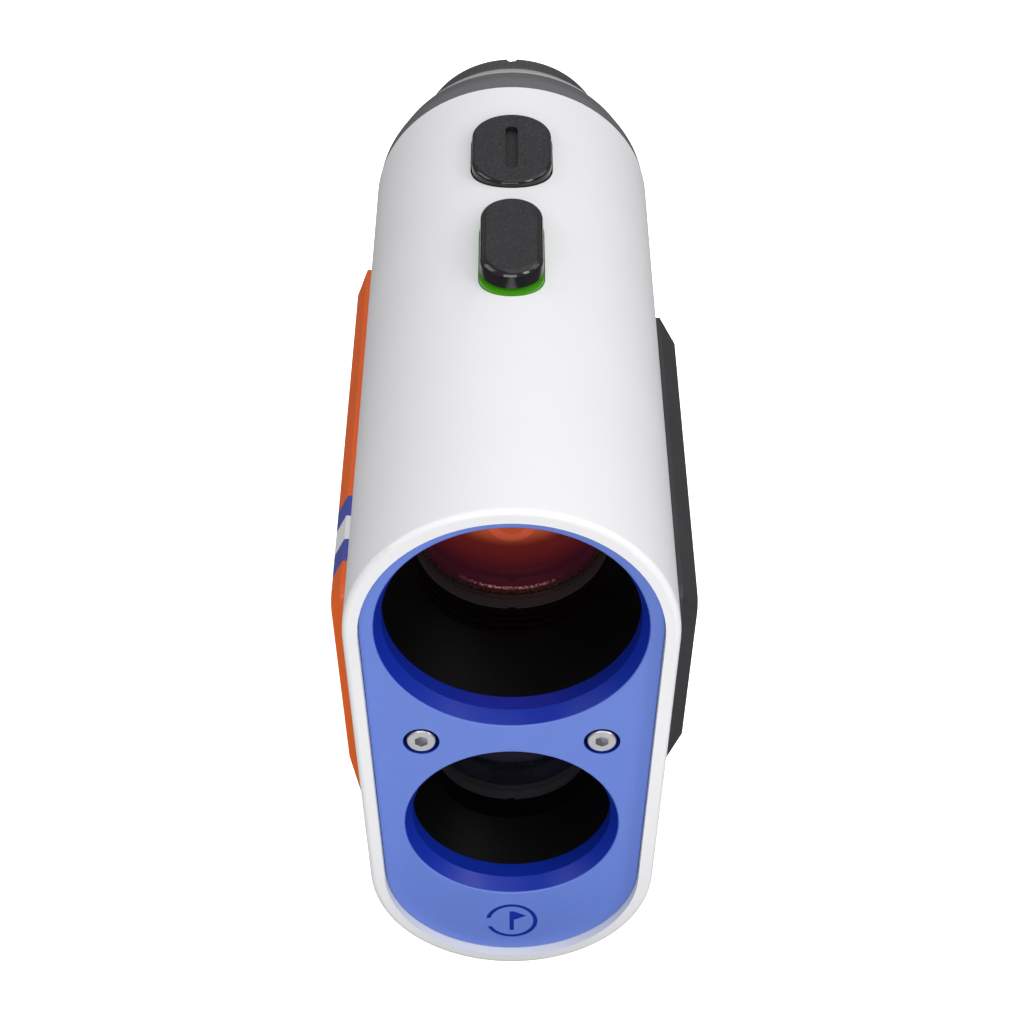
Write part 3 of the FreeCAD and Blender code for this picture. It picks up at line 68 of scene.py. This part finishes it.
class Wire:
    """One output of a node, so that shader maths reads as a sum."""

    def __init__(self, finish, socket):
        self.finish = finish
        self.socket = socket

    def maths(self, operation, *values):
        return self.finish.node("ShaderNodeMath", {"operation": operation}, dict(enumerate(values)))

    def __add__(self, other):
        return self.maths("ADD", self, other)

    def __sub__(self, other):
        return self.maths("SUBTRACT", self, other)

    def __rsub__(self, other):
        return self.maths("SUBTRACT", other, self)

    def __mul__(self, other):
        return self.maths("MULTIPLY", self, other)

    def __pow__(self, other):
        return self.maths("POWER", self, other)

    def __gt__(self, other):
        return self.maths("GREATER_THAN", self, other)

    def __lt__(self, other):
        return self.maths("LESS_THAN", self, other)

    def __abs__(self):
        return self.maths("ABSOLUTE", self)

    __radd__ = __add__
    __rmul__ = __mul__


class Finish:
    """A surface finish: one material, its nodes and its shader."""

    def __init__(self, name, **constants):
        self.material = bpy.data.materials.new(name)
        self.material.use_nodes = True
        self.tree = self.material.node_tree
        self.tree.nodes.clear()
        self.place = self.node("ShaderNodeTexCoord", output="Object")
        self.constants = {key.replace("_", " "): value for key, value in constants.items()}

    def node(self, kind, settings=None, sockets=None, output=0):
        made = self.tree.nodes.new(kind)
        for name, value in (settings or {}).items():
            setattr(made, name, value)
        for key, value in (sockets or {}).items():
            if isinstance(value, Wire):
                self.tree.links.new(value.socket, made.inputs[key])
            else:
                made.inputs[key].default_value = value
        return Wire(self, made.outputs[output]) if made.outputs else made

    def part_of(self, value, low, high):
        """0 below low, 1 above high, smooth between."""
        settings = {"interpolation_type": "SMOOTHSTEP"}
        sockets = {"Value": value, "From Min": low, "From Max": high}
        return self.node("ShaderNodeMapRange", settings, sockets)

    def mixed(self, share, a, b):
        """Colour a where share is 0, colour b where it is 1."""
        first, second = [(*c, 1) if isinstance(c, tuple) else c for c in (a, b)]
        return self.node("ShaderNodeMix", {"data_type": "RGBA"}, {0: share, 6: first, 7: second}, 2)

    def along(self, axis):
        """The place along one axis, in millimetres."""
        return self.node("ShaderNodeSeparateXYZ", None, {0: self.place}, axis) * (1 / MM)

    def facing(self, axis):
        """How far the surface faces along one axis, from -1 to 1."""
        normal = self.node("ShaderNodeNewGeometry", output="Normal")
        return self.node("ShaderNodeSeparateXYZ", None, {0: normal}, axis)

    def stretched(self, x, y, z):
        """The place, with one axis drawn out for a brushed or moulded grain."""
        return self.node("ShaderNodeMapping", None, {"Vector": self.place, "Scale": (x, y, z)})

    def mottle(self, size_mm, detail=2.0, roughness=0.5, place=None):
        """Soft cloudy variation with patches of the given size, about 0.5 on average."""
        sockets = {"Vector": place or self.place, "Scale": 1 / (size_mm * MM)}
        sockets.update({"Detail": detail, "Roughness": roughness})
        return self.node("ShaderNodeTexNoise", None, sockets)

    def grains(self, size_mm, place=None):
        """Small round moulded grains of the given size, 0 at their centres."""
        sockets = {"Vector": place or self.place, "Scale": 1 / (size_mm * MM)}
        return self.node("ShaderNodeTexVoronoi", None, sockets, "Distance")

    def scratches(self, size_mm, share):
        """Fine hairlines, 1 on a line."""
        bent = self.mottle(size_mm, 3.0, 0.6, self.stretched(1.0, 0.08, 1.0))
        line = 1 - self.part_of(abs(bent - 0.5), 0.0, share)
        return line * self.part_of(self.mottle(size_mm * 4), 0.52, 0.62)

    def bumped(self, height, depth_mm, strength=1.0, under=None):
        sockets = {"Height": height, "Distance": depth_mm * MM, "Strength": strength}
        if under:
            sockets["Normal"] = under
        return self.node("ShaderNodeBump", None, sockets)

    def done(self, **varying):
        sockets = dict(self.constants)
        sockets.update({key.replace("_", " "): value for key, value in varying.items()})
        for key, value in sockets.items():
            if isinstance(value, tuple) and len(value) == 3:
                sockets[key] = (*value, 1)
        shader = self.node("ShaderNodeBsdfPrincipled", None, sockets)
        self.node("ShaderNodeOutputMaterial", None, {"Surface": shader})
        return self.material


def moulded(name, colour, rough, grain_mm, grain_depth_mm, variation=0.04, **constants):
    """Plain moulded plastic: fine grain, soft colour variation, handling marks in the gloss."""
    f = Finish(name, **constants)
    cloud = f.mottle(9.0, 4.0)
    grain = f.grains(grain_mm)
    dark = tuple(c * (1 - 2 * variation) for c in colour)
    tone = f.mixed(cloud, dark, colour)
    hair = f.scratches(1.6, 0.01)
    roughness = rough + (cloud - 0.5) * 0.10 + hair * 0.12
    surface = f.bumped(grain, grain_depth_mm, 0.6, f.bumped(hair, 0.002, 0.5))
    return f.done(Base_Color=tone, Roughness=roughness, Normal=surface)


def white_shell():
    f = Finish("shell_white", Coat_Weight=0.10, Coat_Roughness=0.30, Specular_IOR_Level=0.42)
    cloud = f.mottle(14.0, 4.0)
    fine = f.mottle(0.22, 2.0, 0.6)
    hair = f.scratches(1.8, 0.006)
    tone = f.mixed(cloud, (0.755, 0.755, 0.775), (0.785, 0.785, 0.800))
    dust = f.part_of(f.mottle(0.5, 3.0), 0.71, 0.76)
    tone = f.mixed(dust * 0.12, tone, (0.60, 0.59, 0.57))
    roughness = 0.40 + (cloud - 0.5) * 0.12 + hair * 0.10 + (fine - 0.5) * 0.06
    surface = f.bumped(fine, 0.004, 0.35, f.bumped(hair, 0.002, 0.3))
    return f.done(Base_Color=tone, Roughness=roughness, Normal=surface)


def blue_plate():
    f = Finish("faceplate_blue", Specular_IOR_Level=0.35)
    on_face = f.part_of(f.along("Y"), FACE_Y / MM + 0.15, FACE_Y / MM + 0.05)
    cloud = f.mottle(7.0, 4.0)
    grain = f.grains(0.30)
    fine = f.mottle(0.16, 2.0, 0.6)
    tone = f.mixed(cloud, (0.112, 0.190, 0.590), (0.128, 0.212, 0.615))
    # painted shade: off the face, on the recessed chamfers and bores of the apertures, the blue is much darker
    tone = f.mixed(on_face, (0.004, 0.024, 0.34), tone)
    speck = f.part_of(fine, 0.58, 0.72)
    tone = f.mixed(speck * on_face * 0.25, tone, (0.20, 0.30, 0.70))
    roughness = 0.36 + on_face * 0.12 + (cloud - 0.5) * 0.08
    height = (grain * 0.6 + fine * 0.6) * (0.25 + on_face * 0.75)
    return f.done(Base_Color=tone, Roughness=roughness, Normal=f.bumped(height, 0.030, 0.7))


def orange_plate():
    f = Finish("side_plate_orange", Specular_IOR_Level=0.40)
    cloud = f.mottle(8.0, 4.0)
    grain = f.grains(0.26)
    y = f.along("Y")
    # the three printed bands: edges along Y, from the front, in millimetres
    front, first, second, rear = (FACE_Y / MM + step for step in (11.4, 15.2, 19.3, 22.9))
    band = (y > front) * (y < rear)
    white = (y > first) * (y < second)
    print_wear = f.part_of(f.mottle(0.35, 4.0), 0.30, 0.36)
    tone = f.mixed(cloud, (0.70, 0.100, 0.010), (0.78, 0.130, 0.014))
    ink = f.mixed(white, (0.050, 0.075, 0.36), (0.74, 0.75, 0.77))
    tone = f.mixed(band * print_wear, tone, ink)
    roughness = 0.40 + (cloud - 0.5) * 0.10 - band * 0.08
    hair = f.scratches(1.5, 0.008)
    height = grain * 0.8 + band * 0.15
    return f.done(Base_Color=tone, Roughness=roughness + hair * 0.1, Normal=f.bumped(height, 0.018, 0.6))


def black_plate():
    f = Finish("side_plate_black", Specular_IOR_Level=0.5)
    cloud = f.mottle(6.0, 4.0)
    grain = f.grains(0.24)
    fine = f.mottle(0.14, 2.0)
    tone = f.mixed(cloud, (0.022, 0.022, 0.024), (0.032, 0.032, 0.035))
    speck = f.part_of(fine, 0.60, 0.72)
    tone = f.mixed(speck * 0.35, tone, (0.06, 0.06, 0.065))
    roughness = 0.46 + (cloud - 0.5) * 0.12
    return f.done(Base_Color=tone, Roughness=roughness, Normal=f.bumped(grain + fine * 0.6, 0.030, 0.8))


def button_black():
    """Matt grained tops, with polished edges and sides."""
    f = Finish("button_black", Specular_IOR_Level=0.5)
    top = f.part_of(f.facing("Z"), 0.975, 0.997)
    grain = f.grains(0.22)
    fine = f.mottle(0.13, 2.0)
    cloud = f.mottle(5.0, 3.0)
    tone = f.mixed(cloud, (0.006, 0.006, 0.007), (0.011, 0.011, 0.013))
    tone = f.mixed(top * f.part_of(fine, 0.50, 0.66) * 0.6, tone, (0.070, 0.070, 0.080))
    roughness = 0.11 + top * 0.40 + (cloud - 0.5) * 0.05
    return f.done(Base_Color=tone, Roughness=roughness, Normal=f.bumped((grain + fine) * top, 0.030, 0.8))


def green_light():
    f = Finish("light_ring_green", Emission_Strength=0.35, Specular_IOR_Level=0.5)
    cloud = f.mottle(2.5, 3.0)
    tone = f.mixed(cloud, (0.030, 0.18, 0.003), (0.045, 0.23, 0.005))
    glow = f.mixed(cloud, (0.02, 0.15, 0.001), (0.03, 0.19, 0.002))
    surface = f.bumped(f.mottle(0.3), 0.006, 0.4)
    roughness = 0.28 + (cloud - 0.5) * 0.1
    return f.done(Base_Color=tone, Emission_Color=glow, Roughness=roughness, Normal=surface)


def hood_black():
    f = Finish("hood_black", Specular_IOR_Level=0.08)
    cloud = f.mottle(5.0, 3.0)
    tone = f.mixed(cloud, (0.0006, 0.0006, 0.0007), (0.0014, 0.0014, 0.0015))
    turned_marks = f.mottle(0.5, 2.0, 0.5, f.stretched(0.1, 1.0, 0.1))
    height = f.grains(0.18) * 0.5 + turned_marks
    roughness = 0.52 + (cloud - 0.5) * 0.12
    return f.done(Base_Color=tone, Roughness=roughness, Normal=f.bumped(height, 0.012, 0.6))


def lens_black():
    """Black anodised aluminium with fine lathe rings."""
    f = Finish("anodised_black", Specular_IOR_Level=0.5)
    cloud = f.mottle(4.0, 3.0)
    rings = f.node("ShaderNodeTexWave", {"wave_type": "BANDS", "bands_direction": "Y"},
                   {"Vector": f.place, "Scale": 1 / (0.6 * MM), "Distortion": 0.6, "Detail": 1.0}, "Fac")
    tone = f.mixed(cloud, (0.010, 0.010, 0.011), (0.018, 0.018, 0.020))
    surface = f.bumped(rings * 0.5 + f.mottle(0.2) * 0.3, 0.008, 0.6)
    metallic = 0.25 + (cloud - 0.5) * 0.1
    roughness = 0.34 + (cloud - 0.5) * 0.12
    return f.done(Base_Color=tone, Metallic=metallic, Roughness=roughness, Normal=surface)


def coated_glass():
    """The objective: a red multi-layer coating with a brown ground edge; its emission paints reflections, dark
    maroon low down rising to an orange band near the top, and a pink glinting arc near the lower edge.
    """
    f = Finish("objective_coating", Specular_IOR_Level=0.5, IOR=1.6, Emission_Strength=1.0)
    axis_z = (GLASS_BOX[0].z + GLASS_BOX[1].z) / 2 / MM
    x, z = f.along("X"), f.along("Z") - axis_z
    reach = (x * x + z * z) ** 0.5
    cloud = f.mottle(6.0, 2.0)
    speckle = f.part_of(f.mottle(0.25, 3.0), 0.42, 0.60)
    rim = f.part_of(reach, 10.9, 11.3)
    arc = f.part_of(abs(reach - 10.6), 0.35, 0.05) * f.part_of(abs(x), 7.0, 2.0) * f.part_of(z, 0.0, -5.0)
    tone = f.mixed(cloud, (0.10, 0.016, 0.010), (0.13, 0.022, 0.014))
    tone = f.mixed(rim, tone, f.mixed(speckle, (0.05, 0.018, 0.010), (0.20, 0.085, 0.045)))
    # painted reflection in the emission colour: dark maroon low on the lens, rising to an orange band near the
    # top
    high = z + (x * x) * -0.055
    painted_reflection = f.mixed(f.part_of(high, -9.5, -3.8), (0.020, 0.003, 0.008), (0.085, 0.008, 0.008))
    painted_reflection = f.mixed(f.part_of(high, -3.9, -1.2), painted_reflection, (0.36, 0.062, 0.020))
    painted_reflection = f.mixed(rim, painted_reflection, (0.004, 0.002, 0.002))
    # painted glint: a pink speckled arc near the lower edge, in the emission colour
    painted_reflection = f.mixed(arc * speckle, painted_reflection, (0.34, 0.13, 0.13))
    smear = f.part_of(f.mottle(3.0, 5.0), 0.5, 0.8)
    metallic = 0.92 + smear * 0.02
    roughness = 0.06 + smear * 0.03 + rim * 0.3
    alpha = 0.97 - smear * 0.02
    return f.done(Base_Color=tone, Emission_Color=painted_reflection, Metallic=metallic, Roughness=roughness, Alpha=alpha)


def clear_glass():
    f = Finish("clear_glass", Specular_IOR_Level=0.5, IOR=1.52, Coat_Weight=0.4)
    edge = f.node("ShaderNodeLayerWeight", None, {"Blend": 0.3}, "Fresnel")
    smear = f.part_of(f.mottle(3.0, 5.0), 0.5, 0.8)
    tone = f.mixed(edge, (0.010, 0.013, 0.020), (0.06, 0.05, 0.10))
    return f.done(Base_Color=tone, Roughness=0.03 + smear * 0.05, Alpha=0.35 + edge * 0.5 + smear * 0.03)


def rubber():
    f = Finish("rubber_black", Specular_IOR_Level=0.4, Sheen_Weight=0.10, Sheen_Roughness=0.5)
    cloud = f.mottle(4.0, 4.0)
    fine = f.mottle(0.18, 3.0, 0.6)
    tone = f.mixed(cloud, (0.020, 0.020, 0.022), (0.032, 0.032, 0.034))
    dust = f.part_of(f.mottle(0.6, 4.0), 0.62, 0.72)
    tone = f.mixed(dust * 0.2, tone, (0.13, 0.13, 0.13))
    return f.done(Base_Color=tone, Roughness=0.62 + (cloud - 0.5) * 0.2, Normal=f.bumped(fine, 0.02, 0.6))


def translucent_silicone():
    f = Finish("silicone_clear", Subsurface_Weight=0.3, Subsurface_Scale=0.001, Specular_IOR_Level=0.4)
    cloud = f.mottle(1.5, 3.0)
    tone = f.mixed(cloud, (0.50, 0.51, 0.53), (0.60, 0.61, 0.63))
    roughness = 0.42 + (cloud - 0.5) * 0.2
    return f.done(Base_Color=tone, Roughness=roughness, Normal=f.bumped(f.mottle(0.2), 0.004, 0.4))


def metal(name, dark, light, rough, grain_mm=0.12, marks_mm=0.8):
    """Worked metal: turning marks, small tarnish patches."""
    f = Finish(name, Metallic=1.0)
    cloud = f.mottle(1.2, 4.0)
    marks = f.mottle(marks_mm, 3.0, 0.6, f.stretched(1.0, 0.06, 1.0))
    fine = f.mottle(grain_mm, 2.0)
    tone = f.mixed(cloud, dark, light)
    roughness = rough + (cloud - 0.5) * 0.16 + (marks - 0.5) * 0.10
    return f.done(Base_Color=tone, Roughness=roughness, Normal=f.bumped(marks + fine * 0.5, 0.006, 0.5))


def board():
    """Solder mask over faint copper tracks."""
    f = Finish("board_green", Specular_IOR_Level=0.5, Coat_Weight=0.5, Coat_Roughness=0.2)
    sockets = {"Vector": f.place, "Color1": (0, 0, 0, 1), "Color2": (0, 0, 0, 1), "Mortar": (1, 1, 1, 1),
               "Scale": 1 / (4.0 * MM), "Mortar Size": 0.03, "Brick Width": 0.7, "Row Height": 0.3}
    tracks = f.node("ShaderNodeTexBrick", None, sockets, "Fac")
    cloud = f.mottle(3.0, 3.0)
    tone = f.mixed(cloud, (0.008, 0.10, 0.035), (0.012, 0.14, 0.050))
    tone = f.mixed(tracks * 0.6, tone, (0.03, 0.22, 0.08))
    roughness = 0.35 + (cloud - 0.5) * 0.15
    return f.done(Base_Color=tone, Roughness=roughness, Normal=f.bumped(tracks, 0.02, 0.5))


def chips():
    f = Finish("chip_packages", Specular_IOR_Level=0.4)
    cloud = f.mottle(1.0, 3.0)
    tone = f.mixed(cloud, (0.012, 0.012, 0.013), (0.024, 0.024, 0.026))
    roughness = 0.5 + (cloud - 0.5) * 0.2
    return f.done(Base_Color=tone, Roughness=roughness, Normal=f.bumped(f.mottle(0.08), 0.01, 0.6))


FINISHES = {
    "white_shell": white_shell(),
    "blue_plate": blue_plate(),
    "orange_plate": orange_plate(),
    "black_plate": black_plate(),
    "rear_black": moulded("rear_cap_black", (0.13, 0.13, 0.138), 0.34, 0.28, 0.012),
    "button_black": button_black(),
    "green_light": green_light(),
    "hood_black": hood_black(),
    "lens_black": lens_black(),
    "coated_glass": coated_glass(),
    "clear_glass": clear_glass(),
    "rubber": rubber(),
    "diopter_grey": moulded("diopter_grey", (0.46, 0.46, 0.475), 0.38, 0.25, 0.012),
    "silicone": translucent_silicone(),
    "screw_steel": metal("screw_steel", (0.42, 0.42, 0.44), (0.60, 0.60, 0.62), 0.32),
    "brass": metal("turned_brass", (0.50, 0.34, 0.12), (0.72, 0.52, 0.22), 0.30),
    "magnet": metal("nickel_plate", (0.52, 0.51, 0.50), (0.66, 0.65, 0.63), 0.18),
    "tray_plastic": moulded("filled_nylon", (0.050, 0.050, 0.055), 0.5, 0.3, 0.02),
    "board": board(),
    "chips": chips(),
    "cell_wrap": moulded("cell_sleeve", (0.10, 0.13, 0.18), 0.25, 0.6, 0.004),
}
RING_FINISH = moulded("ring_grey", (0.035, 0.035, 0.038), 0.42, 0.2, 0.004)
for name, node in frame["nodes"].items():
    for holder in node.material_slots:
        holder.material = RING_FINISH if name.endswith("retaining_ring") else FINISHES[SLOT_OF[name]]


def soft_eyecup():
    """The rubber eyecup: ribbed outside, with a rolled lip and a small mark at the top."""
    low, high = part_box("eyecup")
    axis_z = (low.z + high.z) / 2
    base = (high.x - low.x) / 2
    start, end = low.y, high.y
    # (share of the base radius, distance in front of the rear edge in millimetres)
    outline = [
        (0.66, 3.95), (0.83, 3.95), (0.83, 5.60), (0.985, 5.60), (0.998, 5.50), (0.998, 5.25), (0.980, 4.90),
        (0.963, 4.40), (0.949, 3.80), (0.938, 3.20), (0.930, 2.60), (0.923, 2.00), (0.916, 1.45), (0.908, 1.00),
        (0.902, 0.75), (0.897, 0.45), (0.886, 0.20), (0.870, 0.05), (0.852, 0.00), (0.834, 0.06), (0.820, 0.22),
        (0.812, 0.48), (0.808, 0.85), (0.800, 1.40), (0.785, 2.00), (0.760, 2.60), (0.725, 3.20), (0.690, 3.65),
    ]
    around = 288
    rib_every, rib_depth = 3, 0.10 * MM
    notch_half = 0.55 * MM
    verts, faces = [], []
    for share, before in outline:
        outside = share > 0.89 and 0.9 < before < 5.0
        near_rim = before < 1.5 and share > 0.80
        for step in range(around):
            angle = 2 * math.pi * (step + 0.5) / around
            radius = base * share
            if outside and step % rib_every == 0:
                radius -= rib_depth
            x, z = radius * math.cos(angle), radius * math.sin(angle)
            y = end - before * MM
            if near_rim and z > 0 and abs(x) < notch_half:
                y = min(y, end - 1.2 * MM)
            verts.append((x, max(y, start), axis_z + z))
    rows = len(outline)
    for row in range(rows):
        for step in range(around):
            after = (step + 1) % around
            below = (row + 1) % rows
            this, under = row * around, below * around
            faces.append((this + step, this + after, under + after, under + step))
    mesh = bpy.data.meshes.new("soft_eyecup")
    mesh.from_pydata(verts, [], faces)
    solid = bmesh.new()
    solid.from_mesh(mesh)
    bmesh.ops.recalc_face_normals(solid, faces=solid.faces)
    solid.to_mesh(mesh)
    solid.free()
    mesh.polygons.foreach_set("use_smooth", [True] * len(faces))
    mesh.materials.append(FINISHES["rubber"])
    cup = bpy.data.objects.new("soft_eyecup", mesh)
    bpy.context.scene.collection.objects.link(cup)
    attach(cup, "diopter_body")
    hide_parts("eyecup")


def pale_floor():
    """A wide white disc; only a card in front of the rangefinder mirrors brightly in its surfaces."""
    f = Finish("floor_white", Emission_Strength=1.0, Specular_IOR_Level=0.1)
    seen = f.node("ShaderNodeLightPath", output="Is Camera Ray")
    cloud = f.mottle(120.0, 2.0)
    x, y = f.along("X"), f.along("Y")
    card = f.part_of(abs(x), 110.0, 70.0) * f.part_of(y, -62.0, -80.0) * f.part_of(y, -230.0, -190.0)
    mirrored = f.mixed(card, (0.12, 0.12, 0.12), (0.84, 0.84, 0.84))
    tone = f.mixed(seen, mirrored, f.mixed(cloud, (0.86, 0.86, 0.86), (0.90, 0.90, 0.90)))
    glow = f.mixed(seen, (0.0, 0.0, 0.0), (1.0, 1.0, 1.0))
    paint = f.done(Base_Color=tone, Emission_Color=glow, Roughness=0.8 + (cloud - 0.5) * 0.05)
    place = (0, 0, cad_box[0].z)
    bpy.ops.mesh.primitive_circle_add(vertices=96, radius=4.0, fill_type="NGON", location=place)
    floor = bpy.context.object
    floor.name = "floor"
    floor.data.materials.append(paint)


def softbox(name, place, aim, width, height, watts):
    light = bpy.data.lights.new(name, "AREA")
    light.shape = "RECTANGLE"
    light.size = width
    light.size_y = height
    light.energy = watts
    holder = bpy.data.objects.new(name, light)
    holder.location = place
    holder.rotation_euler = (Vector(aim) - Vector(place)).to_track_quat("-Z", "Y").to_euler()
    bpy.context.scene.collection.objects.link(holder)


def studio():
    scene = bpy.context.scene
    world = bpy.data.worlds.new("studio")
    world.use_nodes = True
    background = world.node_tree.nodes["Background"]
    background.inputs["Color"].default_value = (1, 1, 1, 1)
    background.inputs["Strength"].default_value = 0.34
    scene.world = world
    middle = (0, 0, 0.05)
    softbox("overhead", (0.22, 0.06, 0.75), middle, 0.90, 0.90, 2.2)
    softbox("strip_front_right", (0.36, -0.26, 0.34), middle, 0.16, 0.30, 1.0)
    softbox("side_right", (0.52, 0.10, 0.36), middle, 0.30, 0.40, 0.5)
    softbox("fill_left", (-0.50, 0.0, 0.35), middle, 0.40, 0.40, 1.15)
    softbox("fill_front", (-0.05, -0.60, 0.30), middle, 0.50, 0.30, 2.0)
    scene.view_settings.view_transform = "Standard"
    scene.view_settings.look = "None"


def camera():
    made = bpy.data.cameras.new("camera")
    made.lens = 85
    made.sensor_width = 36
    made.clip_start = 0.01
    holder = bpy.data.objects.new("camera", made)
    holder.location = (0.000045, -0.24511, 0.25210)
    holder.rotation_euler = (math.radians(48.116), 0, 0)
    bpy.context.scene.collection.objects.link(holder)
    bpy.context.scene.camera = holder


soft_eyecup()
pale_floor()
studio()
camera()
